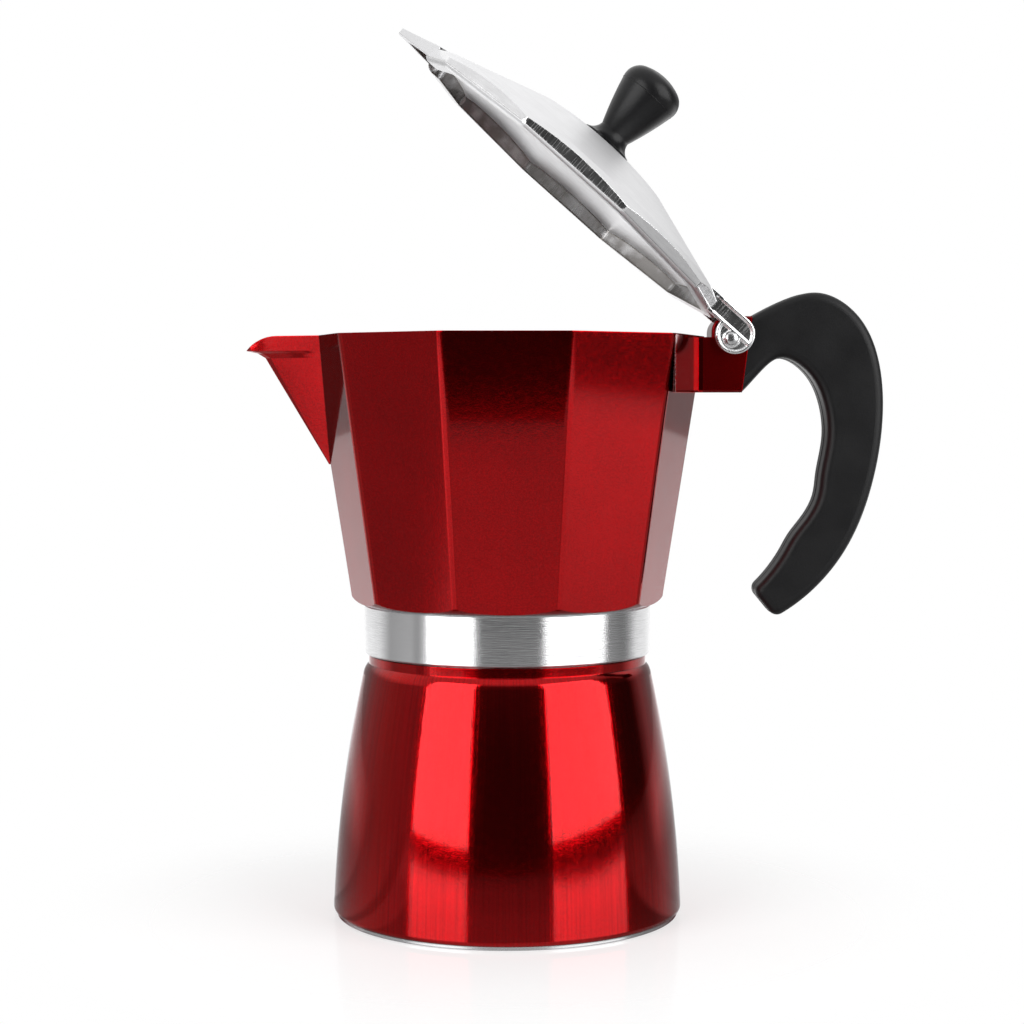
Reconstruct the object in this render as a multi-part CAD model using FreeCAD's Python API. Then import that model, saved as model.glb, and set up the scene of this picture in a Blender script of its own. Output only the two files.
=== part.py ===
import FreeCAD, Part
import math
import os

from FreeCAD import Vector

# Stove-top coffee maker: a round boiler, a ten-sided jug screwed onto it, and a hinged lid.
# Millimetres. The origin is the centre of the base, +Z is up, the handle points along +X
# and the spout along -X. The lid is modelled closed and then swung open to its rest angle.

# Boiler
base_radius = 50.0
foot_inset = 1.0
foot_height = 0.9
foot_flare_height = 1.4
foot_bulge = 0.3
side_height = 66.9
side_bulge = 1.45
shoulder_radius = 41.4
shoulder_inset = 1.6
shoulder_rise = 2.8
shoulder_bulge = 0.24
shoulder_thickening = 2.4
seat_step = 2.5
neck_inset = 2.8
neck_height = 9.5
neck_wall = 2.6
boiler_wall = 2.4
boiler_floor = 3.5
boiler_floor_rounding = 7.2

# Safety valve, on the back of the boiler
valve_height = 47.0
valve_boss_radius = 7.4
valve_boss_proud = 1.3
valve_boss_depth = 0.4
valve_thread_radius = 4.0
valve_hex_width = 11.0
valve_hex_length = 5.2
valve_nut_length = 3.2
valve_tail = 1.4
valve_washer_thickness = 1.0
valve_washer_radius = 6.6
valve_inlet_radius = 1.4
valve_chamber_radius = 2.7
valve_end_wall = 1.3
plunger_head_clearance = 0.4
plunger_head_length = 2.0
plunger_stem_clearance = 0.4
plunger_shows = 1.6
spring_wire_radius = 0.3
spring_turns = 5

# Funnel
flange_overlap = 2.0
flange_thickness = 1.2
basket_clearance = 0.8
basket_taper = 0.9
basket_depth = 26.0
basket_wall = 1.0
basket_ledge = 1.0
basket_cone_drop = 6.0
stem_radius = 5.5
stem_wall = 1.0
stem_socket_length = 4.0
stem_end_gap = 5.5
stem_cut_angle = 20.0
sieve_thickness = 0.8
sieve_hole_radius = 1.1

# Gasket and filter plate
gasket_thickness = 4.5
gasket_clearance = 0.7
gasket_width = 10.0
filter_lap = 2.8
filter_thickness = 0.9
filter_seat_depth = 1.3
filter_hole_radius = 1.0
hole_rings = 3
hole_margin = 5.5

# Jug
sides = 10
jug_height = 76.3
rim_radius = 56.5
flare = 0.156
jug_wall = 2.8
edge_rounding = 3.8
inner_edge_rounding = 1.0
jug_floor_thickness = 5.3
bottom_rounding = 6.1
bottom_step = 0.2
bottom_clear = 0.75
thread_gap = 1.2
collar_wall = 1.8
collar_height = 14.0
seat_gap = 0.4
band_wall = 1.0
band_chamfer = 0.4
chamber_inset = 0.5
chamber_rise = 2.8

# Riser column
column_spigot_radius = 7.0
column_foot_radius = 11.0
column_foot_height = 2.4
column_neck_radius = 9.6
column_neck_height = 6.4
column_top_radius = 7.2
column_top_rounding = 2.4
column_height = 52.0
column_bore = 4.5
column_cap = 4.0
window_width = 6.0
window_height = 9.0

# Spout: drops are measured down from the rim, overhangs outwards from the rim's corner
spout_depth = 37.2
spout_half_width = 11.2
spout_keel_half_width = 0.2
spout_neck_drop = 8.6
spout_neck_overhang = 11.2
spout_throat = [(6.2, 12.6), (4.9, 14.8)]
spout_lip_drop = 4.2
spout_overhang = 18.1
spout_lip_flare = 1.2
spout_brim_overhang = 9.0
spout_nose_half_width = 1.5
spout_overlap = 11.2
spout_wall = 2.2
spout_keel_wall = 2.9
spout_channel_depth = 30.0
spout_channel_nose = 0.6

# Handle bracket and hinge: overhangs are measured outwards from the rim's corner
bracket_half_width = 8.0
bracket_depth = 16.0
bracket_step = 0.4
bracket_chamfer = 0.5
bracket_overhang = 9.9
joint_slant = 2.8
lug_overhang = 1.2
lug_rise = 5.5
lug_rounding = 4.4
hinge_overhang = 6.6
hinge_drop = 0.9
pin_radius = 1.4
pin_running_clearance = 0.05
tongue_half_width = 4.2
tongue_overhang = 2.1
tongue_rise = 2.8
tongue_height = 8.4
tongue_clearance = 0.15
screw_overhang = 6.1
screw_radius = 1.6
screw_head_radius = 3.3
screw_head_depth = 1.7
screw_length = 9.6

# Handle outline, as offsets from the lower corner of its joint with the bracket
handle_half_width = 8.0
handle_edge_rounding = 2.5
handle_tip_rounding = 2.7
handle_back = [(12.2, 26.2), (21.7, 28.2), (33.2, 21.4), (39.0, 8.6), (40.2, -6.4), (37.5, -25.3),
               (30.1, -44.3), (20.4, -56.4)]
handle_tip = [(9.8, -64.0), (3.4, -56.2)]
handle_grip = [(8.6, -50.7), (12.3, -45.2), (14.6, -41.1), (18.9, -35.3), (21.9, -29.0), (22.6, -23.8),
               (24.4, -12.4), (23.2, -2.6), (18.9, 5.6), (10.8, 9.7), (5.8, 6.2)]

# Lid
lid_open_angle = 41.6
lid_gap = 0.3
lid_inset = 0.3
lid_rim_wall = 4.2
lid_edge_rounding = 1.8
lid_lip_rounding = 1.6
lid_edge_height = 2.6
lid_facet_rise = 1.4
lid_shoulder_width = 5.5
lid_shoulder_rise = 2.9
lid_cone_end = 23.0
lid_cone_rise = 14.7
lid_crown_bulge = 0.3
lid_height = 16.4
lid_shell = 1.6
knob_seat_radius = 9.0
beak_overhang = 8.0
beak_half_width = 11.6
beak_nose_half_width = 1.6
beak_root_inset = 2.7
beak_root_height = 4.9
beak_tip_height = 3.0
beak_root_run = 13.5
beak_tip_clear = 1.3
beak_wall = 1.8
beak_side_wall = 2.2
beak_tip_wall = 2.9
beak_hollow_nose = 0.7

# Hinge ears on the lid
ear_gap = 0.3
ear_thickness = 2.3
ear_radius = 5.5
ear_lift = 1.6
arm_height = 5.6
arm_root_inset = 10.2
ear_border = 0.9
ear_recess = 0.6
pin_boss_wall = 0.9

# Knob
knob_height = 25.6
knob_foot_radius = 7.8
knob_foot_edge = 1.1
knob_foot_hollow = 0.7
knob_neck_radius = 4.8
knob_neck_height = 4.6
knob_flank_bulge = 0.25
knob_radius = 9.1
knob_widest_height = 18.8
knob_shoulder_bulge = 1.2
knob_crown_radius = 6.0
knob_crown_rise = 1.2
insert_radius = 3.0
insert_length = 12.0
knob_screw_radius = 2.0
knob_screw_clearance = 0.15
knob_screw_grip = 9.0
knob_screw_head_radius = 3.6
knob_screw_head_height = 2.2
knob_washer_radius = 5.2
knob_washer_thickness = 0.8

# Radii that follow from the sizes above
half_side = math.pi / sides
foot_radius = base_radius - foot_inset
seat_radius = shoulder_radius - shoulder_inset
neck_radius = seat_radius - neck_inset
mouth_radius = neck_radius - neck_wall
flange_radius = mouth_radius + flange_overlap
basket_radius = mouth_radius - basket_clearance
basket_foot_radius = basket_radius - basket_taper
collar_bore = neck_radius + thread_gap
collar_radius = collar_bore + collar_wall
bottom_radius = collar_radius + bottom_step
gasket_radius = collar_bore - gasket_clearance
gasket_bore = gasket_radius - gasket_width
filter_radius = gasket_bore + filter_lap
chamber_radius = gasket_bore - chamber_inset
lid_radius = rim_radius - lid_inset
ear_inner = bracket_half_width + ear_gap
ear_outer = ear_inner + ear_thickness

# Heights that follow, from the base upwards
side_start = foot_height + foot_flare_height
shoulder_height = side_start + side_height
seat_height = shoulder_height + shoulder_rise
neck_base = seat_height + seat_step
boiler_rim_height = neck_base + neck_height
flange_top = boiler_rim_height + flange_thickness
shelf_height = flange_top - basket_depth
cone_foot_height = shelf_height - basket_cone_drop
stem_end_height = boiler_floor + stem_end_gap
gasket_top = flange_top + gasket_thickness
filter_seat = gasket_top - filter_seat_depth
chamber_top = gasket_top + chamber_rise
jug_floor_height = gasket_top + jug_floor_thickness
collar_bottom = neck_base + seat_gap
collar_top = collar_bottom + collar_height
rim_height = collar_top + jug_height
bracket_bottom = rim_height - bracket_depth
lug_height = rim_height + lug_rise
hinge_reach = rim_radius + hinge_overhang
hinge_height = rim_height - hinge_drop
joint_bottom = Vector(rim_radius + bracket_overhang, 0, bracket_bottom)
joint_top = joint_bottom + Vector(joint_slant, 0, lug_height - bracket_bottom)
spout_root_height = rim_height - spout_depth
lid_bottom = rim_height + lid_gap
lid_corner_top = lid_bottom + lid_edge_height
dome_top = lid_bottom + lid_height


def edges_through(start, steps):
    """Lines and three-point arcs in the XZ plane: a step is an end, or a middle and an end."""
    edges = []
    here = Vector(start[0], 0, start[1])
    for step in steps:
        if isinstance(step[0], tuple):
            middle = Vector(step[0][0], 0, step[0][1])
            there = Vector(step[1][0], 0, step[1][1])
            edges.append(Part.Arc(here, middle, there).toShape())
        else:
            there = Vector(step[0], 0, step[1])
            edges.append(Part.makeLine(here, there))
        here = there
    return edges


def bulged(start, end, bulge):
    """An arc step to end, whose middle stands out to the right of the straight way by bulge."""
    run = math.hypot(end[0] - start[0], end[1] - start[1])
    middle = ((start[0] + end[0]) / 2 + bulge * (end[1] - start[1]) / run,
              (start[1] + end[1]) / 2 - bulge * (end[0] - start[0]) / run)
    return middle, end


def quarter(start, end):
    """A quarter-circle step to end, standing out to the right of the straight way."""
    return bulged(start, end, abs(end[0] - start[0]) * (1 - math.sqrt(0.5)))


def profile(start, *steps):
    """A closed face in the XZ plane; the last step runs back to the start."""
    edges = edges_through(start, list(steps) + [start])
    return Part.Face(Part.Wire(edges))


def turned(start, *steps):
    """A profile turned about the pot's axis."""
    return profile(start, *steps).revolve(Vector(0, 0, 0), Vector(0, 0, 1), 360)


def plate(face, half_width):
    """A profile in the XZ plane given thickness on both sides of that plane."""
    block = face.extrude(Vector(0, 2 * half_width, 0))
    block.translate(Vector(0, -half_width, 0))
    return block


def column_of(points, low, high):
    """A flat outline in plan, extruded upwards from low to high."""
    corners = [Vector(x, y, low) for x, y in points]
    wire = Part.makePolygon(corners + [corners[0]])
    return Part.Face(wire).extrude(Vector(0, 0, high - low))


def rod(radius, start, end):
    """A round bar between two points."""
    return Part.makeCylinder(radius, (end - start).Length, start, end - start)


def upright(radius, low, high):
    """A round bar on the pot's axis."""
    return rod(radius, Vector(0, 0, low), Vector(0, 0, high))


def ten_sided(radius, height, rounding):
    """A ten-sided wire with one corner on the X axis, its corners rounded."""
    tangent = rounding * math.tan(half_side)
    inset = rounding * (1 / math.cos(half_side) - 1)
    arcs = []
    for k in range(sides):
        angle = 2 * half_side * k
        outward = Vector(math.cos(angle), math.sin(angle), 0)
        arriving = angle + math.pi / 2 - half_side
        leaving = angle + math.pi / 2 + half_side
        corner = outward * radius + Vector(0, 0, height)
        start = corner - Vector(math.cos(arriving), math.sin(arriving), 0) * tangent
        end = corner + Vector(math.cos(leaving), math.sin(leaving), 0) * tangent
        arcs.append((start, corner - outward * inset, end))
    edges = []
    for k, (start, middle, end) in enumerate(arcs):
        edges.append(Part.Arc(start, middle, end).toShape())
        edges.append(Part.makeLine(end, arcs[(k + 1) % sides][0]))
    return Part.Wire(edges)


def corner_radius_at(height):
    """Radius of the jug's outer corners at a height."""
    return rim_radius - flare * (rim_height - height)


def ten_sided_body(inset, low, high, rounding):
    """The jug's flaring ten-sided form, set in from its outer faces by inset."""
    less = inset / math.cos(half_side)
    low_wire = ten_sided(corner_radius_at(low) - less, low, rounding)
    high_wire = ten_sided(corner_radius_at(high) - less, high, rounding)
    return Part.makeLoft([low_wire, high_wire], True, True)


def ten_sided_prism(radius, low, high, rounding):
    """A straight ten-sided bar."""
    return Part.Face(ten_sided(radius, low, rounding)).extrude(Vector(0, 0, high - low))


def perforated_disc(radius, low, thickness, hole_radius):
    """A round plate with a centre hole and rings of holes, six more in each ring."""
    pitch = (radius - hole_margin) / hole_rings
    disc = upright(radius, low, low + thickness)
    holes = [upright(hole_radius, low, low + thickness)]
    for ring in range(1, hole_rings + 1):
        count = 6 * ring
        for k in range(count):
            angle = 2 * math.pi * k / count
            place = Vector(ring * pitch * math.cos(angle), ring * pitch * math.sin(angle), low)
            holes.append(Part.makeCylinder(hole_radius, thickness, place))
    return disc.cut(holes)


# The ends of the boiler's curved side, outside and inside
outer_low = (base_radius, side_start)
outer_high = (shoulder_radius, shoulder_height)
inner_low = (base_radius - boiler_wall, boiler_floor + boiler_floor_rounding)
inner_high = (shoulder_radius - boiler_wall - shoulder_thickening, shoulder_height - boiler_wall)


def side_radius_at(height, low, high):
    """Radius of the boiler's curved side at a height, between its low and high ends."""
    middle = bulged(low, high, side_bulge)[0]
    arc = Part.Arc(Vector(*low, 0), Vector(*middle, 0), Vector(*high, 0))
    circle = arc.toShape().Curve
    away = height - circle.Center.y
    return circle.Center.x + math.sqrt(circle.Radius ** 2 - away ** 2)


# Places along the safety valve's axis, outwards from the pot's axis
valve_boss_face = side_radius_at(valve_height, outer_low, outer_high) + valve_boss_proud
valve_boss_top = side_radius_at(valve_height + valve_boss_radius, inner_low, inner_high)
valve_inner_face = valve_boss_top - valve_boss_depth
valve_hex_start = valve_boss_face + valve_washer_thickness
valve_hex_end = valve_hex_start + valve_hex_length
valve_tail_end = valve_inner_face - valve_nut_length - valve_tail
valve_seat = valve_inner_face - valve_tail
valve_chamber_end = valve_hex_end - valve_end_wall
plunger_head_radius = valve_chamber_radius - plunger_head_clearance
plunger_stem_radius = valve_inlet_radius - plunger_stem_clearance
plunger_head_end = valve_seat + plunger_head_length


def along_valve(radius, start, end):
    """A round bar on the valve's axis."""
    return rod(radius, Vector(0, start, valve_height), Vector(0, end, valve_height))


def hexagon(width, start, end):
    """A hexagonal bar on the valve's axis."""
    corner = width / 2 / math.cos(math.pi / 6)
    points = []
    for k in range(7):
        angle = math.pi / 3 * k
        points.append(Vector(corner * math.cos(angle), start, valve_height + corner * math.sin(angle)))
    return Part.Face(Part.makePolygon(points)).extrude(Vector(0, end - start, 0))


def make_boiler():
    foot = (foot_radius, foot_height)
    seat = (seat_radius, seat_height)
    outside = turned(
        (0, 0), (foot_radius, 0), foot, bulged(foot, outer_low, foot_bulge),
        bulged(outer_low, outer_high, side_bulge), bulged(outer_high, seat, shoulder_bulge),
        (seat_radius, neck_base), (neck_radius, neck_base),
        (neck_radius, boiler_rim_height), (0, boiler_rim_height))
    floor_edge = (inner_low[0] - boiler_floor_rounding, boiler_floor)
    inside = turned(
        (0, boiler_floor), floor_edge, quarter(floor_edge, inner_low),
        bulged(inner_low, inner_high, side_bulge), (mouth_radius, seat_height),
        (mouth_radius, boiler_rim_height), (0, boiler_rim_height))
    boss = along_valve(valve_boss_radius, valve_inner_face, valve_boss_face)
    hole = along_valve(valve_thread_radius, 0, valve_boss_face)
    return outside.cut(inside).fuse(boss).cut(hole).removeSplitter()


def make_valve_body():
    body = hexagon(valve_hex_width, valve_hex_start, valve_hex_end)
    body = body.fuse(along_valve(valve_thread_radius, valve_tail_end, valve_hex_start))
    body = body.cut(along_valve(valve_inlet_radius, valve_tail_end, valve_hex_end))
    body = body.cut(along_valve(valve_chamber_radius, valve_seat, valve_chamber_end))
    return body.removeSplitter()


def make_valve_washer():
    ring = along_valve(valve_washer_radius, valve_boss_face, valve_hex_start)
    return ring.cut(along_valve(valve_thread_radius, valve_boss_face, valve_hex_start))


def make_valve_nut():
    nut_end = valve_inner_face - valve_nut_length
    nut = hexagon(valve_hex_width, nut_end, valve_inner_face)
    return nut.cut(along_valve(valve_thread_radius, nut_end, valve_inner_face))


def make_valve_plunger():
    head = along_valve(plunger_head_radius, valve_seat, plunger_head_end)
    stem = along_valve(plunger_stem_radius, plunger_head_end, valve_hex_end + plunger_shows)
    return head.fuse(stem).removeSplitter()


def make_valve_spring():
    """A coil between the plunger's head and the end wall, from quarter-turn arcs of one radius."""
    start = plunger_head_end + spring_wire_radius
    end = valve_chamber_end - spring_wire_radius
    radius = (plunger_stem_radius + valve_chamber_radius) / 2
    quarters = 4 * spring_turns
    points = []
    for k in range(2 * quarters + 1):
        angle = math.pi / 4 * k
        across = Vector(radius * math.cos(angle), 0, radius * math.sin(angle))
        points.append(across + Vector(0, start + (end - start) * k / (2 * quarters), valve_height))
    arcs = [Part.Arc(*points[2 * k:2 * k + 3]).toShape() for k in range(quarters)]
    path = Part.Wire(arcs)
    along = path.Edges[0].tangentAt(path.Edges[0].FirstParameter)
    section = Part.Wire(Part.Circle(points[0], along, spring_wire_radius).toShape())
    gap = (end - start) / spring_turns - 2 * spring_wire_radius
    print("least gap between the spring's turns", round(gap, 2), "mm")
    return path.makePipeShell([section], True, False)


def make_funnel():
    stem_out = stem_radius + basket_wall
    socket_end = cone_foot_height - stem_socket_length
    return turned(
        (stem_radius, socket_end), (stem_out, socket_end),
        (stem_out, cone_foot_height - basket_wall), (basket_foot_radius, shelf_height - basket_wall),
        (basket_radius, boiler_rim_height), (flange_radius, boiler_rim_height), (flange_radius, flange_top),
        (basket_radius - basket_wall, flange_top), (basket_foot_radius - basket_wall, shelf_height),
        (basket_foot_radius - basket_wall - basket_ledge, shelf_height), (stem_radius, cone_foot_height))


def make_funnel_stem():
    tube = upright(stem_radius, stem_end_height, cone_foot_height)
    bore = upright(stem_radius - stem_wall, stem_end_height, cone_foot_height)
    wedge_rise = 2 * stem_radius * math.tan(math.radians(stem_cut_angle))
    wedge = profile((-stem_radius, stem_end_height), (stem_radius, stem_end_height),
                    (stem_radius, stem_end_height + wedge_rise))
    return tube.cut(bore).cut(plate(wedge, stem_radius))


def make_funnel_sieve():
    return perforated_disc(basket_foot_radius - basket_wall, shelf_height, sieve_thickness, sieve_hole_radius)


def make_gasket():
    return turned((gasket_bore, flange_top), (gasket_radius, flange_top), (gasket_radius, gasket_top),
                  (filter_radius, gasket_top), (filter_radius, filter_seat), (gasket_bore, filter_seat))


def make_filter_plate():
    return perforated_disc(filter_radius, filter_seat, filter_thickness, filter_hole_radius)


def spout_section(height, reach, nose, width):
    """One level of the spout: a pointed outline that runs back into the jug."""
    root = corner_radius_at(height) - width * math.tan(half_side)
    inner = corner_radius_at(spout_root_height) - spout_overlap
    points = [(-inner, -width), (-root, -width), (-reach + nose, -nose), (-reach, 0),
              (-reach + nose, nose), (-root, width), (-inner, width)]
    corners = [Vector(x, y, height) for x, y in points]
    return Part.makePolygon(corners + [corners[0]])


def spout_form(depth, half_width, nose, keel_wall, top):
    """The spout from its root up to top; with a keel wall, the channel inside it."""
    keel_slope = ((spout_neck_overhang + flare * spout_depth) / (spout_depth - spout_neck_drop))
    keel_start = depth * (1 - spout_keel_half_width / half_width)
    keel_overhang = keel_slope * (spout_depth - keel_start) - flare * spout_depth
    levels = [(keel_start, keel_overhang), (spout_neck_drop, spout_neck_overhang)] + spout_throat
    levels += [(spout_lip_drop, spout_overhang), (rim_height - top, spout_overhang + spout_lip_flare)]
    wires = []
    for drop, overhang in levels:
        width = half_width * (1 - drop / depth)
        reach = rim_radius + overhang - keel_wall
        wires.append(spout_section(rim_height - drop, reach, min(nose, width / 2), width))
    return Part.makeLoft(wires, True, True)


def spout_brim():
    """What is cut away above the spout's lip, which droops along an arc that starts level."""
    run = spout_overhang - spout_brim_overhang
    radius = (run ** 2 + spout_lip_drop ** 2) / (2 * spout_lip_drop)
    start = rim_radius + spout_brim_overhang
    centre = rim_height - radius
    block = Part.makeBox(radius, 2 * spout_half_width, 2 * radius,
                         Vector(-start - radius, -spout_half_width, centre))
    return block.cut(rod(radius, Vector(-start, -spout_half_width, centre),
                         Vector(-start, spout_half_width, centre)))


def bracket():
    """The cast bracket: a straight-sided root on two faces, and a lug that carries hinge and handle."""
    root_x = rim_radius * math.cos(2 * half_side)
    root_y = rim_radius * math.sin(2 * half_side)
    root_top = rim_height - bracket_step
    lug_start = rim_radius + lug_overhang
    root = column_of([(root_x, -root_y), (rim_radius, 0), (root_x, root_y)], bracket_bottom, root_top)
    bend_start = (lug_start + lug_rounding, lug_height)
    bend_end = (lug_start, lug_height - lug_rounding)
    lug = profile(
        (root_x, bracket_bottom), (joint_bottom.x, joint_bottom.z), (joint_top.x, joint_top.z),
        bend_start, quarter(bend_start, bend_end), (lug_start, root_top), (root_x, root_top))
    block = plate(lug, bracket_half_width)
    outer_edges = [edge for edge in block.Edges
                   if abs(edge.CenterOfMass.y) == bracket_half_width and (
                       abs(edge.CenterOfMass.z - bracket_bottom) < bracket_chamfer
                       or edge.CenterOfMass.z > root_top + bracket_chamfer)]
    return root.fuse(block.makeChamfer(bracket_chamfer, outer_edges))


def tongue(clearance):
    """The tongue of the handle, or with a clearance the socket for it."""
    low = Vector(rim_radius + tongue_overhang - clearance, -tongue_half_width - clearance,
                 bracket_bottom + tongue_rise - clearance)
    block = Part.makeBox(joint_top.x - low.x, 2 * (tongue_half_width + clearance),
                         tongue_height + 2 * clearance, low)
    inside = profile((0, bracket_bottom), (joint_bottom.x, joint_bottom.z),
                     (joint_top.x, joint_top.z), (0, lug_height))
    return block.common(plate(inside, bracket_half_width))


def screw_form(clearance):
    """The countersunk handle screw, or with a clearance the hole for it in the bracket."""
    foot = Vector(rim_radius + screw_overhang, 0, bracket_bottom)
    up = Vector(0, 0, 1)
    head = Part.makeCone(screw_head_radius, screw_radius + clearance, screw_head_depth, foot, up)
    return head.fuse(Part.makeCylinder(screw_radius + clearance, screw_length, foot, up)).removeSplitter()


def across_hinge(radius, start, end):
    """A round bar on the hinge's axis."""
    return rod(radius, Vector(hinge_reach, start, hinge_height), Vector(hinge_reach, end, hinge_height))


def make_jug():
    bottom_start = (bottom_radius, collar_top)
    bottom_top = collar_top + bottom_rounding
    bottom_end = (corner_radius_at(bottom_top) + bottom_clear, bottom_top)
    bottom_bulge = bottom_rounding * (1 - math.sqrt(0.5))
    beyond = 2 * rim_radius
    rounded = turned((0, collar_top), bottom_start, bulged(bottom_start, bottom_end, bottom_bulge),
                     (beyond, bottom_top), (beyond, rim_height), (0, rim_height))
    shell = ten_sided_body(0, collar_top, rim_height, edge_rounding).common(rounded)
    spout = spout_form(spout_depth, spout_half_width, spout_nose_half_width, 0, rim_height)
    collar = upright(collar_radius, collar_bottom, collar_top)
    solid = shell.fuse([collar, spout.cut(spout_brim()), bracket()])
    hollows = [
        ten_sided_body(jug_wall, jug_floor_height, rim_height + jug_wall, inner_edge_rounding),
        spout_form(spout_channel_depth, spout_half_width - spout_wall, spout_channel_nose,
                   spout_keel_wall, rim_height + spout_wall),
        upright(collar_bore, collar_bottom, gasket_top),
        turned((0, gasket_top), (chamber_radius, gasket_top), (column_spigot_radius, chamber_top),
               (column_spigot_radius, jug_floor_height), (0, jug_floor_height)),
        tongue(tongue_clearance),
        screw_form(tongue_clearance),
        across_hinge(pin_radius, -bracket_half_width, bracket_half_width)]
    return solid.cut(hollows).removeSplitter()


def make_collar_band():
    outer = collar_radius + band_wall
    return turned(
        (collar_radius, collar_bottom), (outer - band_chamfer, collar_bottom),
        (outer, collar_bottom + band_chamfer), (outer, collar_top - band_chamfer),
        (outer - band_chamfer, collar_top), (collar_radius, collar_top))


def make_riser_column():
    top = jug_floor_height + column_height
    crown_start = (column_top_radius, top - column_top_rounding)
    crown_end = (column_top_radius - column_top_rounding, top)
    column = turned(
        (0, chamber_top), (column_spigot_radius, chamber_top), (column_spigot_radius, jug_floor_height),
        (column_foot_radius, jug_floor_height), (column_foot_radius, jug_floor_height + column_foot_height),
        (column_neck_radius, jug_floor_height + column_neck_height), crown_start,
        quarter(crown_start, crown_end), (0, top))
    bore_top = top - column_cap
    window = Part.makeBox(window_width, 2 * column_foot_radius, window_height,
                          Vector(-window_width / 2, -column_foot_radius, bore_top - window_height))
    return column.cut([upright(column_bore, chamber_top, bore_top), window])


def make_hinge_pin():
    return across_hinge(pin_radius, -ear_outer, ear_outer)


def handle_curve(offsets):
    """A smooth curve through points given as offsets from the joint's lower corner."""
    curve = Part.BSplineCurve()
    curve.interpolate([joint_bottom + Vector(x, 0, z) for x, z in offsets])
    return curve.toShape()


def make_handle():
    start = joint_top - joint_bottom
    back_corner, front_corner = handle_tip
    outline = Part.Wire([
        Part.makeLine(joint_bottom, joint_top),
        handle_curve([(start.x, start.z)] + handle_back + [back_corner]),
        handle_curve([back_corner, front_corner]),
        handle_curve([front_corner] + handle_grip + [(0, 0)])])
    bar = plate(Part.Face(outline), handle_half_width)
    tip_edges = [edge for edge in bar.Edges
                 if abs(edge.CenterOfMass.y) < handle_tip_rounding and edge.CenterOfMass.x > joint_top.x]
    bar = bar.makeFillet(handle_tip_rounding, tip_edges)
    side_edges = [edge for edge in bar.Edges
                  if abs(edge.CenterOfMass.y) > handle_tip_rounding and edge.CenterOfMass.x > joint_top.x]
    bar = bar.makeFillet(handle_edge_rounding, side_edges)
    return bar.fuse(tongue(0)).cut(screw_form(0)).removeSplitter()


def make_handle_screw():
    return screw_form(0)


def dome(drop):
    """The lid's turned top: a flat seat, a cone and a rounded edge, lowered by drop."""
    edge = (lid_radius, lid_corner_top - drop)
    facet_top = (lid_radius * math.cos(half_side), edge[1] + lid_facet_rise)
    cone_low = (lid_radius - lid_shoulder_width, edge[1] + lid_shoulder_rise)
    cone_high = (lid_cone_end, lid_bottom + lid_cone_rise - drop)
    seat = (knob_seat_radius, dome_top - drop)
    return turned((0, rim_height), (lid_radius, rim_height), edge, (facet_top, cone_low), cone_high,
                  bulged(cone_high, seat, lid_crown_bulge), (0, seat[1]))


def beak_form(half_width, nose, reach, drop, low):
    """The pointed cover over the spout, or the hollow under it, with its top lowered by drop."""
    inner = lid_radius - beak_root_run
    root = lid_radius - beak_root_inset
    tip_top = lid_bottom + beak_tip_height - drop
    root_top = lid_bottom + beak_root_height - drop
    slope = (root_top - tip_top) / (rim_radius + beak_overhang - root)
    side = profile((-inner, low), (-reach, low), (-reach, tip_top), (-root, root_top),
                   (-inner, root_top + slope * (root - inner)))
    corner = root - beak_wall
    plan = column_of([(-inner, -half_width), (-corner, -half_width), (-reach, -nose), (-reach, nose),
                      (-corner, half_width), (-inner, half_width)], low, dome_top)
    return plate(side, half_width).common(plan)


def ear():
    """One hinge ear: a round end and an arm, with a border round its sunk outer face."""
    across = Vector(0, 1, 0)
    eye = Vector(hinge_reach, ear_inner, hinge_height + ear_lift)
    arm_low = eye.z + ear_radius - arm_height
    arm_root = lid_radius - arm_root_inset
    arm = Part.makeBox(hinge_reach - arm_root, ear_thickness, arm_height,
                       Vector(arm_root, ear_inner, arm_low))
    solid = Part.makeCylinder(ear_radius, ear_thickness, eye, across).fuse(arm)
    sunk = ear_outer - ear_recess
    panel_start = lid_radius - lid_rim_wall
    panel = Part.makeBox(hinge_reach - panel_start, ear_recess, arm_height - 2 * ear_border,
                         Vector(panel_start, sunk, arm_low + ear_border))
    pocket = Part.makeCylinder(ear_radius - ear_border, ear_recess, Vector(eye.x, sunk, eye.z), across)
    rib = Part.makeBox(2 * ear_radius, ear_recess, ear_border,
                       Vector(hinge_reach - ear_radius, sunk, arm_low))
    boss = across_hinge(pin_radius + pin_boss_wall, sunk, ear_outer)
    return solid.cut(pocket.fuse(panel).cut([rib, boss]))


def mirrored(shape):
    """The same shape on the other side of the pot's middle plane."""
    return shape.mirror(Vector(0, 0, 0), Vector(0, 1, 0))


def opened(shape):
    """A piece of the lid, swung from closed to its rest angle."""
    swung = shape.copy()
    swung.rotate(Vector(hinge_reach, 0, hinge_height), Vector(0, 1, 0), lid_open_angle)
    return swung


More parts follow.
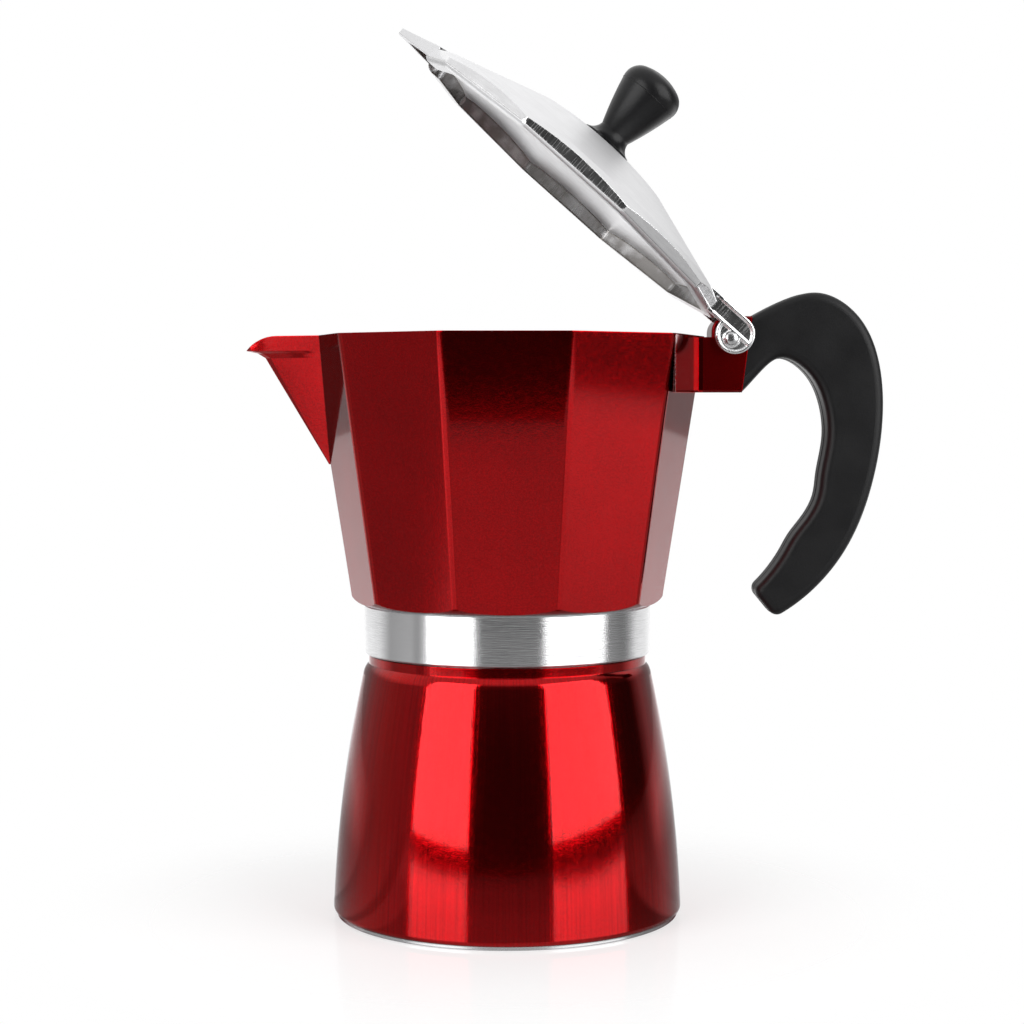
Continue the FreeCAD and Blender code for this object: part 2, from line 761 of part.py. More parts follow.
def make_lid():
    outside = ten_sided_prism(lid_radius, lid_bottom, dome_top, lid_edge_rounding).common(dome(0))
    lip_edges = [edge for edge in outside.Edges if edge.BoundBox.ZMax < lid_bottom + lid_gap]
    outside = outside.makeFillet(lid_lip_rounding, lip_edges)
    reach = rim_radius + beak_overhang
    beak = beak_form(beak_half_width, beak_nose_half_width, reach, 0, lid_bottom + beak_tip_clear)
    outside = outside.fuse([beak, ear(), mirrored(ear())])
    inner_radius = lid_radius - lid_rim_wall / math.cos(half_side)
    hollow = ten_sided_prism(inner_radius, rim_height, dome_top, lid_edge_rounding).common(dome(lid_shell))
    beak_hollow = beak_form(beak_half_width - beak_side_wall, beak_hollow_nose, reach - beak_tip_wall,
                            beak_wall, rim_height)
    hole = upright(knob_screw_radius + knob_screw_clearance, lid_bottom, dome_top)
    eyes = across_hinge(pin_radius + pin_running_clearance, -ear_outer, ear_outer)
    return outside.cut([hollow, beak_hollow, hole, eyes]).removeSplitter()


def make_lid_knob():
    foot = (knob_foot_radius, dome_top + knob_foot_edge)
    neck = (knob_neck_radius, dome_top + knob_neck_height)
    widest = (knob_radius, dome_top + knob_widest_height)
    crown = (knob_crown_radius, dome_top + knob_height - knob_crown_rise)
    top = (0, dome_top + knob_height)
    ball = (knob_crown_radius ** 2 + knob_crown_rise ** 2) / (2 * knob_crown_rise)
    half_way = math.asin(knob_crown_radius / ball) / 2
    cap_middle = (ball * math.sin(half_way), top[1] - ball * (1 - math.cos(half_way)))
    knob = turned(
        (0, dome_top), (knob_foot_radius, dome_top), foot, bulged(foot, neck, -knob_foot_hollow),
        bulged(neck, widest, knob_flank_bulge), bulged(widest, crown, knob_shoulder_bulge),
        (cap_middle, top))
    return knob.cut(upright(insert_radius, dome_top, dome_top + insert_length))


def make_knob_insert():
    end = dome_top + insert_length
    return upright(insert_radius, dome_top, end).cut(upright(knob_screw_radius, dome_top, end))


def make_knob_washer():
    top = dome_top - lid_shell
    low = top - knob_washer_thickness
    ring = upright(knob_washer_radius, low, top)
    return ring.cut(upright(knob_screw_radius + knob_screw_clearance, low, top))


def make_knob_screw():
    seat = dome_top - lid_shell - knob_washer_thickness
    head = upright(knob_screw_head_radius, seat - knob_screw_head_height, seat)
    return head.fuse(upright(knob_screw_radius, seat, dome_top + knob_screw_grip)).removeSplitter()


pieces = {
    "boiler": make_boiler(),
    "valve_body": make_valve_body(),
    "valve_washer": make_valve_washer(),
    "valve_nut": make_valve_nut(),
    "valve_spring": make_valve_spring(),
    "valve_plunger": make_valve_plunger(),
    "funnel": make_funnel(),
    "funnel_stem": make_funnel_stem(),
    "funnel_sieve": make_funnel_sieve(),
    "gasket": make_gasket(),
    "filter_plate": make_filter_plate(),
    "jug": make_jug(),
    "collar_band": make_collar_band(),
    "riser_column": make_riser_column(),
    "handle": make_handle(),
    "handle_screw": make_handle_screw(),
    "hinge_pin": make_hinge_pin(),
    "lid": opened(make_lid()),
    "lid_knob": opened(make_lid_knob()),
    "knob_insert": opened(make_knob_insert()),
    "knob_screw": opened(make_knob_screw()),
    "knob_washer": opened(make_knob_washer()),
}

os.makedirs("parts", exist_ok=True)
for name, shape in pieces.items():
    solids = shape.Solids
    box = shape.BoundBox
    print(name, len(solids), "solid", shape.isValid(), round(shape.Volume), "mm3",
          [round(v, 1) for v in (box.XMin, box.YMin, box.ZMin, box.XMax, box.YMax, box.ZMax)])
    piece = solids[0] if len(solids) == 1 else Part.makeCompound(solids)
    piece.exportStep("parts/" + name + ".step")
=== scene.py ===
import math

import bpy
from mathutils import Matrix, Vector


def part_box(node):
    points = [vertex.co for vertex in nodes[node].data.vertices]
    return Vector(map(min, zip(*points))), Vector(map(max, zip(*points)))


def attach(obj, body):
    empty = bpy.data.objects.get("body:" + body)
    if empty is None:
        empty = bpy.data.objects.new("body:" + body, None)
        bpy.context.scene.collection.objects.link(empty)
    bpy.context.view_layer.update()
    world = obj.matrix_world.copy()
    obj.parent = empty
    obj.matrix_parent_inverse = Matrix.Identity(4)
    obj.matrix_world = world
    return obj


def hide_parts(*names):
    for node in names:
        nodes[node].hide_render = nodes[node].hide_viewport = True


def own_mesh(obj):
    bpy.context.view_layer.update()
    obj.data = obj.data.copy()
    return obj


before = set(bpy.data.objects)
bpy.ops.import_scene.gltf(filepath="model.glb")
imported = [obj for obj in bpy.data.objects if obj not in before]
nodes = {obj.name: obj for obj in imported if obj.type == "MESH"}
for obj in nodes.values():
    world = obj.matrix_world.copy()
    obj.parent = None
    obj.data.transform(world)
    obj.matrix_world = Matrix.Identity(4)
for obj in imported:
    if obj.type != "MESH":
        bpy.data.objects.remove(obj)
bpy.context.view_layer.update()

bpy.context.scene.view_settings.view_transform = "Standard"

# The boiler is a drawn aluminium pot with a clear red lacquer on its outside. Its foot is turned
# bare after lacquering, and its inside and screwed neck are left as raw metal.
lacquer_red = (0.45, 0.0008, 0.003, 1.0)
lacquer_deep_red = (0.30, 0.0005, 0.0018, 1.0)
lacquer_edge_tint = (0.30, 0.05, 0.06, 1.0)
lacquer_edge_radius = 0.0004
lacquer_bump = 0.06
lacquer_coat = {"Coat Roughness": 0.05, "Coat IOR": 1.23}
# The bracket's red is darkened toward this deep red as painted shade; its lacquer there is also rougher.
bracket_shade_red = (0.05, 0.0005, 0.001, 1.0)
bracket_shade_share = 0.6
coarse_roughness = 0.34
raw_aluminium = (0.70, 0.70, 0.71, 1.0)
dull_aluminium = (0.30, 0.29, 0.29, 1.0)
bump_depth = 0.0002
edge_samples = 6
foot_top = 0.0010
neck_bottom = 0.0746
boiler_floor_top = 0.030
boiler_streaks = 0.6
beyond_boiler = 1.0


def add_node(tree, kind, sockets=None, **settings):
    """One shader node; a socket takes a value, or another node's output."""
    node = tree.nodes.new(kind)
    for name, value in settings.items():
        setattr(node, name, value)
    for key, value in (sockets or {}).items():
        if isinstance(value, bpy.types.NodeSocket):
            tree.links.new(value, node.inputs[key])
        else:
            node.inputs[key].default_value = value
    return node


def maths(tree, operation, first, second=0.0):
    """The output of one Math node."""
    return add_node(tree, "ShaderNodeMath", {0: first, 1: second}, operation=operation).outputs[0]


def vector_maths(tree, operation, first, second=(0.0, 0.0, 0.0)):
    """The output of one Vector Math node: a value for a dot product or a length, else a vector."""
    node = add_node(tree, "ShaderNodeVectorMath", {0: first, 1: second}, operation=operation)
    return node.outputs["Value" if operation in ("DOT_PRODUCT", "LENGTH") else "Vector"]


def apart(tree, vector):
    """The three outputs of a Separate XYZ node."""
    return add_node(tree, "ShaderNodeSeparateXYZ", {0: vector}).outputs


def together(tree, *values):
    """The output of a Combine XYZ node."""
    return add_node(tree, "ShaderNodeCombineXYZ", dict(enumerate(values))).outputs[0]


def noise(tree, place, scale, detail):
    """The output of a Noise node."""
    return add_node(tree, "ShaderNodeTexNoise", {"Vector": place, "Scale": scale,
                                                 "Detail": detail}).outputs[0]


def ranged(tree, value, low, high, start=0.0, end=1.0, curve="LINEAR"):
    """A value that goes from start to end while another goes from low to high."""
    return add_node(tree, "ShaderNodeMapRange", {
        "Value": value, "From Min": low, "From Max": high, "To Min": start, "To Max": end,
    }, interpolation_type=curve).outputs[0]


def mixed_colour(tree, factor, first, second):
    """The output of a colour Mix node."""
    node = add_node(tree, "ShaderNodeMix", {0: factor, 6: first, 7: second}, data_type="RGBA")
    return node.outputs[2]


def mixed_value(tree, factor, first, second):
    """The output of a value Mix node."""
    return add_node(tree, "ShaderNodeMix", {0: factor, 2: first, 3: second}).outputs[0]


def rounded_edge(tree, radius, samples):
    """A normal that turns smoothly round the edges within radius."""
    return add_node(tree, "ShaderNodeBevel", {"Radius": radius}, samples=samples).outputs[0]


def bumped(tree, height, strength, normal=None):
    """The output of a Bump node, on top of another normal where one is given."""
    sockets = {"Strength": strength, "Distance": bump_depth, "Height": height}
    if normal is not None:
        sockets["Normal"] = normal
    return add_node(tree, "ShaderNodeBump", sockets).outputs[0]


def start_group(name, inputs, outputs):
    """An empty node group with its sockets; gives the group, its input node and its output node."""
    group = bpy.data.node_groups.new(name, "ShaderNodeTree")
    for label, kind, value in inputs:
        socket = group.interface.new_socket(label, in_out="INPUT", socket_type=kind)
        socket.default_value = value
    for label, kind in outputs:
        group.interface.new_socket(label, in_out="OUTPUT", socket_type=kind)
    return group, add_node(group, "NodeGroupInput").outputs, add_node(group, "NodeGroupOutput")


def end_group(group, result, values):
    """Links what a group puts out, and gives the group."""
    for label, value in values.items():
        group.links.new(value, result.inputs[label])
    return group


def use_group(tree, group, sockets):
    """The outputs of a node group that is placed in a material with its own values."""
    return add_node(tree, "ShaderNodeGroup", sockets, node_tree=group).outputs


def start_material(name):
    """A node material; gives the material, its tree and its Principled shader."""
    material = bpy.data.materials.new(name)
    material.use_nodes = True
    return material, material.node_tree, material.node_tree.nodes["Principled BSDF"]


def dress(tree, shader, colour, rough, normal, plain=None):
    """Links a finish to its shader, and sets what is the same all over the surface."""
    tree.links.new(colour, shader.inputs["Base Color"])
    tree.links.new(rough, shader.inputs["Roughness"])
    tree.links.new(normal, shader.inputs["Normal"])
    for socket, value in (plain or {}).items():
        shader.inputs[socket].default_value = value


def finish_node(name, material):
    """Gives a CAD node its finish."""
    nodes[name].data.materials.clear()
    nodes[name].data.materials.append(material)


def make_painted_outside():
    """Where the lacquer lies: outside faces between two heights, never the inside or the floor."""
    turned_in = -0.12
    inside_reach = 0.055
    facing_up = 0.5
    group, given, result = start_group(
        "painted_outside",
        [("Low", "NodeSocketFloat", 0.0), ("High", "NodeSocketFloat", 1.0),
         ("Floor", "NodeSocketFloat", 0.0)],
        [("Mask", "NodeSocketFloat")])
    place = add_node(group, "ShaderNodeTexCoord").outputs
    at = apart(group, place["Object"])
    facing = apart(group, place["Normal"])
    outward = vector_maths(group, "NORMALIZE", together(group, at[0], at[1]))
    turned_out = vector_maths(group, "DOT_PRODUCT", outward, place["Normal"])
    inside = maths(group, "MULTIPLY", maths(group, "LESS_THAN", turned_out, turned_in),
                   maths(group, "LESS_THAN", at[0], inside_reach))
    floor = maths(group, "MULTIPLY", maths(group, "LESS_THAN", at[2], given["Floor"]),
                  maths(group, "GREATER_THAN", facing[2], facing_up))
    band = maths(group, "MULTIPLY", maths(group, "GREATER_THAN", at[2], given["Low"]),
                 maths(group, "LESS_THAN", at[2], given["High"]))
    bare = maths(group, "MAXIMUM", inside, floor)
    mask = maths(group, "MULTIPLY", band, maths(group, "SUBTRACT", 1.0, bare))
    return end_group(group, result, {"Mask": mask})


def make_lacquer_skin():
    """Clear coloured lacquer: slow tone changes, streaks from drawing, and a fine peel."""
    cloud_scale, peel_scale, grain_scale = 45.0, 700.0, 2600.0
    cloud_share, grain_height = 0.35, 0.5
    streaks_round, streaks_up, streak_height = 70.0, 25.0, 2.4
    smoothest, roughest = 0.09, 0.13
    tone_range, peel_range = (0.35, 0.65), (0.3, 0.7)
    group, given, result = start_group(
        "lacquer_skin",
        [("Colour", "NodeSocketColor", lacquer_red), ("Deep colour", "NodeSocketColor", lacquer_deep_red),
         ("Drawn", "NodeSocketFloat", 0.5)],
        [("Colour", "NodeSocketColor"), ("Roughness", "NodeSocketFloat"), ("Height", "NodeSocketFloat")])
    place = add_node(group, "ShaderNodeTexCoord").outputs["Object"]
    cloud = noise(group, place, cloud_scale, 3.0)
    peel = noise(group, place, peel_scale, 2.0)
    grain = noise(group, place, grain_scale, 1.0)
    at = apart(group, place)
    round_about = maths(group, "MULTIPLY", maths(group, "ARCTAN2", at[1], at[0]), streaks_round)
    drawn_out = together(group, round_about, maths(group, "MULTIPLY", at[2], streaks_up))
    streak = noise(group, drawn_out, 1.0, 4.0)
    speckle = maths(group, "ADD", maths(group, "MULTIPLY", cloud, cloud_share),
                    maths(group, "MULTIPLY", grain, 1 - cloud_share))
    tone = ranged(group, mixed_value(group, given["Drawn"], speckle, streak), *tone_range)
    furrow = maths(group, "MULTIPLY", streak, maths(group, "MULTIPLY", given["Drawn"], streak_height))
    skin = maths(group, "ADD", peel, maths(group, "MULTIPLY", grain, grain_height))
    return end_group(group, result, {
        "Colour": mixed_colour(group, tone, given["Deep colour"], given["Colour"]),
        "Roughness": ranged(group, peel, *peel_range, smoothest, roughest),
        "Height": maths(group, "ADD", skin, furrow)})


def make_turned_marks():
    """Bare metal that was turned or brushed round an axis: fine rings and a cloudy sheen."""
    round_scale, cloud_scale = 6.0, 120.0
    ring_share, most_dull = 0.6, 0.22
    sheen_range, dull_range = (0.3, 0.7), (0.25, 0.75)
    group, given, result = start_group(
        "turned_marks",
        [("Vector", "NodeSocketVector", (0.0, 0.0, 0.0)), ("Colour", "NodeSocketColor", raw_aluminium),
         ("Fineness", "NodeSocketFloat", 2500.0), ("Smoothest", "NodeSocketFloat", 0.14),
         ("Roughest", "NodeSocketFloat", 0.32)],
        [("Colour", "NodeSocketColor"), ("Roughness", "NodeSocketFloat"), ("Height", "NodeSocketFloat")])
    at = apart(group, given["Vector"])
    angle = maths(group, "ARCTAN2", at[1], at[0])
    radius = vector_maths(group, "LENGTH", together(group, at[0], at[1]))
    ring = together(group, maths(group, "MULTIPLY", angle, round_scale),
                    maths(group, "MULTIPLY", radius, given["Fineness"]),
                    maths(group, "MULTIPLY", at[2], given["Fineness"]))
    rings = noise(group, ring, 1.0, 3.0)
    cloud = noise(group, given["Vector"], cloud_scale, 4.0)
    worn = maths(group, "ADD", maths(group, "MULTIPLY", rings, ring_share),
                 maths(group, "MULTIPLY", cloud, 1 - ring_share))
    dull = ranged(group, worn, *dull_range, 0.0, most_dull)
    return end_group(group, result, {
        "Colour": mixed_colour(group, dull, given["Colour"], dull_aluminium),
        "Roughness": ranged(group, worn, *sheen_range, given["Smoothest"], given["Roughest"]),
        "Height": rings})


painted_outside = make_painted_outside()
lacquer_skin = make_lacquer_skin()
turned_marks = make_turned_marks()


def lacquered_metal(name, low, high, floor, drawn, coarse_and_shaded_beyond):
    """Red lacquer outside, raw turned aluminium elsewhere; past a given line along x the lacquer is rougher
    and darkened as painted shade.
    """
    material, tree, shader = start_material(name)
    mask = use_group(tree, painted_outside, {"Low": low, "High": high, "Floor": floor})["Mask"]
    skin = use_group(tree, lacquer_skin, {"Colour": lacquer_red, "Deep colour": lacquer_deep_red,
                                         "Drawn": drawn})
    place = add_node(tree, "ShaderNodeTexCoord").outputs["Object"]
    bare = use_group(tree, turned_marks, {"Vector": place, "Colour": raw_aluminium})
    coarse_and_shaded = maths(tree, "GREATER_THAN", apart(tree, place)[0], coarse_and_shaded_beyond)
    # Past that line the red is darkened toward a deep red: painted shade.
    bracket_shade = maths(tree, "MULTIPLY", maths(tree, "MULTIPLY", coarse_and_shaded, mask), bracket_shade_share)
    colour = mixed_colour(tree, mask, bare["Colour"], skin["Colour"])
    colour = mixed_colour(tree, bracket_shade, colour, bracket_shade_red)
    painted_rough = mixed_value(tree, coarse_and_shaded, skin["Roughness"], coarse_roughness)
    rough = mixed_value(tree, mask, bare["Roughness"], painted_rough)
    height = mixed_value(tree, mask, bare["Height"], skin["Height"])
    normal = bumped(tree, height, lacquer_bump, rounded_edge(tree, lacquer_edge_radius, edge_samples))
    dress(tree, shader, colour, rough, normal, {
        "Metallic": 1.0, "Specular Tint": lacquer_edge_tint, **lacquer_coat})
    tree.links.new(mask, shader.inputs["Coat Weight"])
    return material


boiler_lacquer = lacquered_metal("boiler_lacquer", foot_top, neck_bottom, boiler_floor_top,
                                 boiler_streaks, beyond_boiler)
finish_node("boiler", boiler_lacquer)

thread_pitch = 0.003
thread_turns = 2.2
thread_low = 0.0762
thread_half_root = 0.00075
thread_crest_share = 0.4
thread_steps_a_turn = 96
crest_slack = 1e-5
same_point = 1e-6
neck_thread_root = 0.0369
neck_thread_crest = 0.0378
sharp_edge = math.radians(30)


def edit_whole(piece):
    """Opens a piece in edit mode with all of it selected."""
    bpy.context.view_layer.objects.active = piece
    bpy.ops.object.mode_set(mode="EDIT")
    bpy.ops.mesh.select_all(action="SELECT")


def thread_ridge(name, root, crest, low, turns, material):
    """A screw thread's ridge: a trapezium in the upright plane, swept round the pot's axis."""
    bpy.ops.object.select_all(action="DESELECT")
    bpy.ops.mesh.primitive_plane_add(size=1.0, location=((root + crest) / 2, 0.0, low),
                                     rotation=(math.radians(90), 0.0, 0.0))
    ridge_highlight = bpy.context.object
    ridge_highlight.name = name
    ridge_highlight.scale = (abs(crest - root), 2 * thread_half_root, 1.0)
    bpy.ops.object.transform_apply(location=True, rotation=True, scale=True)
    for vertex in ridge_highlight.data.vertices:
        vertex.select = abs(vertex.co.x - crest) < crest_slack
    for edge in ridge_highlight.data.edges:
        edge.select = all(ridge_highlight.data.vertices[i].select for i in edge.vertices)
    for face in ridge_highlight.data.polygons:
        face.select = False
    bpy.ops.object.mode_set(mode="EDIT")
    bpy.ops.mesh.select_mode(type="VERT")
    bpy.ops.transform.resize(value=(1.0, 1.0, thread_crest_share))
    bpy.ops.mesh.select_all(action="SELECT")
    bpy.ops.mesh.delete(type="ONLY_FACE")
    bpy.ops.object.mode_set(mode="OBJECT")
    sweep = ridge_highlight.modifiers.new("sweep", "SCREW")
    sweep.angle = 2 * math.pi * turns
    sweep.screw_offset = thread_pitch * turns
    sweep.steps = sweep.render_steps = int(thread_steps_a_turn * turns)
    bpy.ops.object.modifier_apply(modifier="sweep")
    edit_whole(ridge_highlight)
    bpy.ops.mesh.remove_doubles(threshold=same_point)
    bpy.ops.mesh.fill_holes(sides=4)
    bpy.ops.mesh.normals_make_consistent(inside=False)
    bpy.ops.object.mode_set(mode="OBJECT")
    bpy.ops.object.shade_smooth_by_angle(angle=sharp_edge)
    ridge_highlight.data.materials.append(material)
    return ridge_highlight


neck_thread = thread_ridge("neck_thread", neck_thread_root, neck_thread_crest, thread_low, thread_turns,
                           boiler_lacquer)
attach(neck_thread, "boiler")

# The safety valve is a brass plug with a brass pin that a small steel spring holds shut.
# It screws into the boss at the back, against a soft washer, and a nut holds it inside.
brass_yellow = (0.72, 0.50, 0.20, 1.0)
spring_steel = (0.52, 0.52, 0.53, 1.0)
washer_ivory = (0.62, 0.58, 0.50, 1.0)
washer_dark = (0.45, 0.42, 0.36, 1.0)
valve_height = 0.047
facing_back = (math.radians(90), 0.0, 0.0)
valve_centre = (0.0, valve_height, 0.0)


def turned_metal(name, colour, centre=(0, 0, 0), turn=(0, 0, 0), smoothest=0.14, roughest=0.32,
                 fineness=2500.0, strength=0.08):
    """Bare metal with turning marks round an axis through centre."""
    material, tree, shader = start_material(name)
    place = add_node(tree, "ShaderNodeTexCoord").outputs["Object"]
    local = add_node(tree, "ShaderNodeMapping", {"Vector": place, "Location": centre, "Rotation": turn})
    marks = use_group(tree, turned_marks, {
        "Vector": local.outputs[0], "Colour": colour, "Fineness": fineness, "Smoothest": smoothest,
        "Roughest": roughest})
    normal = bumped(tree, marks["Height"], strength)
    dress(tree, shader, marks["Colour"], marks["Roughness"], normal, {"Metallic": 1.0})
    return material


def soft_seal(name, colour, dark):
    """Moulded rubber or silicone with a matt, slightly cloudy skin."""
    cloud_scale, grain_scale, grain_bump = 300.0, 3000.0, 0.1
    smoothest, roughest = 0.45, 0.7
    material, tree, shader = start_material(name)
    place = add_node(tree, "ShaderNodeTexCoord").outputs["Object"]
    cloud = noise(tree, place, cloud_scale, 3.0)
    grain = noise(tree, place, grain_scale, 1.0)
    dress(tree, shader, mixed_colour(tree, cloud, dark, colour),
          ranged(tree, grain, 0.0, 1.0, smoothest, roughest), bumped(tree, grain, grain_bump))
    return material


def merged_copy(node, name):
    """A copy of a CAD piece's mesh with its doubled points merged, ready to be worked on."""
    bpy.ops.object.select_all(action="DESELECT")
    copy = bpy.data.objects.new(name, nodes[node].data.copy())
    bpy.context.scene.collection.objects.link(copy)
    copy.select_set(True)
    edit_whole(copy)
    bpy.ops.mesh.remove_doubles(threshold=2 * same_point)
    bpy.ops.object.mode_set(mode="OBJECT")
    return copy


valve_brass = turned_metal("valve_brass", brass_yellow, valve_centre, facing_back, smoothest=0.2,
                           roughest=0.34)
for piece in ("valve_body", "valve_nut", "valve_plunger"):
    finish_node(piece, valve_brass)
finish_node("valve_washer", soft_seal("washer_rubber", washer_ivory, washer_dark))
finish_node("valve_spring", turned_metal("spring_wire", spring_steel, valve_centre, facing_back))
spring_coil = merged_copy("valve_spring", "spring_coil")
bpy.ops.object.shade_smooth()
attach(spring_coil, "boiler")
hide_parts("valve_spring")
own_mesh(spring_coil)

# The funnel that holds the ground coffee is spun from thin aluminium. Its tube is swaged into it,
# a pressed sieve lies on its floor, and its rim hangs in the boiler's mouth.
funnel_aluminium = turned_metal("funnel_aluminium", raw_aluminium, roughest=0.4)
for piece in ("funnel", "funnel_stem", "funnel_sieve"):
    finish_node(piece, funnel_aluminium)

# A moulded gasket of pale rubber sits in the underside of the jug and seals it on the boiler.
# It holds a filter plate, which is pressed from the same sheet as the sieve.
gasket_pale = (0.70, 0.67, 0.60, 1.0)
gasket_dark = (0.55, 0.52, 0.46, 1.0)
finish_node("gasket", soft_seal("gasket_rubber", gasket_pale, gasket_dark))
finish_node("filter_plate", funnel_aluminium)

# The jug is cast with ten sides, a pointed spout and a bracket for hinge and handle. It is lacquered
# like the boiler, and its inside and screwed collar stay bare. The column in it is turned.
jug_foot = 0.0890
above_jug = 1.0
jug_floor_top = 0.100
jug_streaks = 0.08
# Past bracket_root the jug's lacquer is rougher and its red is darkened as painted shade.
bracket_root = 0.0553
collar_thread_root = 0.0383
collar_thread_crest = 0.0373
jug_lacquer = lacquered_metal("jug_lacquer", jug_foot, above_jug, jug_floor_top, jug_streaks,
                              bracket_root)
finish_node("jug", jug_lacquer)
collar_thread = thread_ridge("collar_thread", collar_thread_root, collar_thread_crest,
                             thread_low + thread_pitch / 2, thread_turns, jug_lacquer)
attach(collar_thread, "jug")
finish_node("riser_column", turned_metal("riser_aluminium", raw_aluminium, roughest=0.42))

# The band round the collar is a plain ring of bright aluminium. It is pressed onto the jug's collar
# and brushed round its axis, so that what it mirrors is drawn out upright.
band_silver = (0.76, 0.76, 0.77, 1.0)
band_aluminium = turned_metal("band_aluminium", band_silver, smoothest=0.15, roughest=0.24,
                              fineness=4200.0, strength=0.16)
band_shader = band_aluminium.node_tree.nodes["Principled BSDF"]
band_way = add_node(band_aluminium.node_tree, "ShaderNodeTangent", direction_type="RADIAL", axis="Z")
band_aluminium.node_tree.links.new(band_way.outputs[0], band_shader.inputs["Tangent"])
band_shader.inputs["Anisotropic"].default_value = 0.9
band_shader.inputs["Anisotropic Rotation"].default_value = 0.25
finish_node("collar_band", band_aluminium)

# The handle is moulded black plastic with a satin skin. A tongue on it goes into the bracket,
# and a countersunk screw from below holds it.
plastic_black = (0.004, 0.004, 0.0045, 1.0)
plastic_worn = (0.009, 0.009, 0.0095, 1.0)
fastener_steel = (0.60, 0.60, 0.61, 1.0)
seam_thickness = 0.00012
seam_share = 0.9946
handle_middle = (0.0, 0.0, 0.0)
sideways = (0.0, 1.0, 0.0)
handle_screw_reach = 0.0626
handle_screw_face = (handle_screw_reach, 0.0, 0.1492)
handle_recess = {"long": 0.0040, "wide": 0.0009, "deep": 0.0012}


def moulded_plastic(name, smoothest, roughest):
    """Satin black plastic with a finely sparked mould skin."""
    cloud_scale, spark_scale, spark_bump = 90.0, 2200.0, 0.12
    cloud_range = (0.3, 0.7)
    material, tree, shader = start_material(name)
    place = add_node(tree, "ShaderNodeTexCoord").outputs["Object"]
    cloud = noise(tree, place, cloud_scale, 3.0)
    spark = noise(tree, place, spark_scale, 2.0)
    dress(tree, shader, mixed_colour(tree, cloud, plastic_black, plastic_worn),
          ranged(tree, cloud, *cloud_range, smoothest, roughest), bumped(tree, spark, spark_bump),
          {"Specular IOR Level": 0.22})
    return material


def seam_bead(node, name, point, way, material):
    """A fine raised line where two halves of a mould met, taken from a cut through the CAD piece."""
    edit_whole(merged_copy(node, name))
    bpy.ops.mesh.bisect(plane_co=point, plane_no=way, clear_inner=True, clear_outer=True)
    bpy.ops.object.mode_set(mode="OBJECT")
    bpy.ops.object.convert(target="CURVE")
    line = bpy.context.object.data
    line.bevel_depth = seam_thickness
    line.bevel_resolution = 2
    bpy.ops.object.convert(target="MESH")
    bead = bpy.context.object
    low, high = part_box(node)
    edit_whole(bead)
    bpy.ops.transform.resize(value=(seam_share, 1.0, 1.0),
                             center_override=(Vector(low) + Vector(high)) / 2)
    bpy.ops.object.mode_set(mode="OBJECT")
    bead.data.materials.clear()
    bead.data.materials.append(material)
    bpy.ops.object.shade_smooth()
    return bead


def cross_recessed(node, name, place, turn, recess, material):
    """A copy of a CAD screw with a cross recess cut into its head."""
    screw = merged_copy(node, name)
    long, wide, deep = recess["long"], recess["wide"], recess["deep"]
    for size in ((long, wide, 2 * deep), (wide, long, 2 * deep)):
        bpy.ops.object.select_all(action="DESELECT")
        bpy.ops.mesh.primitive_cube_add(size=1.0, location=place, rotation=turn, scale=size)
        cutter = bpy.context.object
        bpy.context.view_layer.objects.active = screw
        slot = screw.modifiers.new("recess", "BOOLEAN")
        slot.object = cutter
        slot.operation = "DIFFERENCE"
        bpy.ops.object.modifier_apply(modifier="recess")
        bpy.data.objects.remove(cutter)
    screw.select_set(True)
    bpy.ops.object.shade_smooth_by_angle(angle=sharp_edge)
    screw.data.materials.clear()
    screw.data.materials.append(material)
    return screw


handle_plastic = moulded_plastic("handle_plastic", smoothest=0.38, roughest=0.48)
finish_node("handle", handle_plastic)
handle_seam = seam_bead("handle", "handle_seam", handle_middle, sideways, handle_plastic)
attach(handle_seam, "jug")
handle_screw_steel = turned_metal("handle_screw_steel", fastener_steel, (-handle_screw_reach, 0.0, 0.0))
finish_node("handle_screw", handle_screw_steel)
handle_fixing = cross_recessed("handle_screw", "handle_fixing", handle_screw_face, (0.0, 0.0, 0.0),
                               handle_recess, handle_screw_steel)
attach(handle_fixing, "jug")
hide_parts("handle_screw")

# The hinge is one steel pin, pressed through the bracket's lug and free in both ears of the lid.
# Each of its ends is hammered over into a low rivet dome.
hinge_place = Vector((0.0631, 0.0, 0.1643))
hinge_centre = (-hinge_place.x, hinge_place.z, 0.0)
pin_end = 0.01065
rivet_radius = 0.0018
rivet_rise = 0.0006
rivet_sharp_edge = math.radians(40)
hinge_pin_steel = turned_metal("hinge_pin_steel", fastener_steel, hinge_centre, facing_back)
finish_node("hinge_pin", hinge_pin_steel)


def pin_rivet(name, side):
    """A low dome hammered over one end of the pin."""
    bpy.ops.object.select_all(action="DESELECT")
    face = Vector((hinge_place.x, side * pin_end, hinge_place.z))
    bpy.ops.mesh.primitive_uv_sphere_add(segments=48, ring_count=24, radius=1.0, location=face)
    rivet = bpy.context.object
    rivet.name = name
    rivet.scale = (rivet_radius, rivet_rise, rivet_radius)
    bpy.ops.object.transform_apply(location=True, rotation=True, scale=True)
    edit_whole(rivet)
    bpy.ops.mesh.bisect(plane_co=face, plane_no=(0.0, side, 0.0), use_fill=True, clear_inner=True)
    bpy.ops.object.mode_set(mode="OBJECT")
    bpy.ops.object.shade_smooth_by_angle(angle=rivet_sharp_edge)
    rivet.data.materials.append(hinge_pin_steel)
    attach(rivet, "jug")


pin_rivet("pin_rivet_near", -1)
pin_rivet("pin_rivet_far", 1)

# The lid is a thin aluminium casting, polished outside, with a turned dome and ten short sides. Within, the
# sides are darkened as painted shade, more along the level corners, and lightened along the upright corners
# as painted highlight. It is modelled swung open, so its marks are turned back to the closed axis.
lid_silver = (0.88, 0.88, 0.89, 1.0)
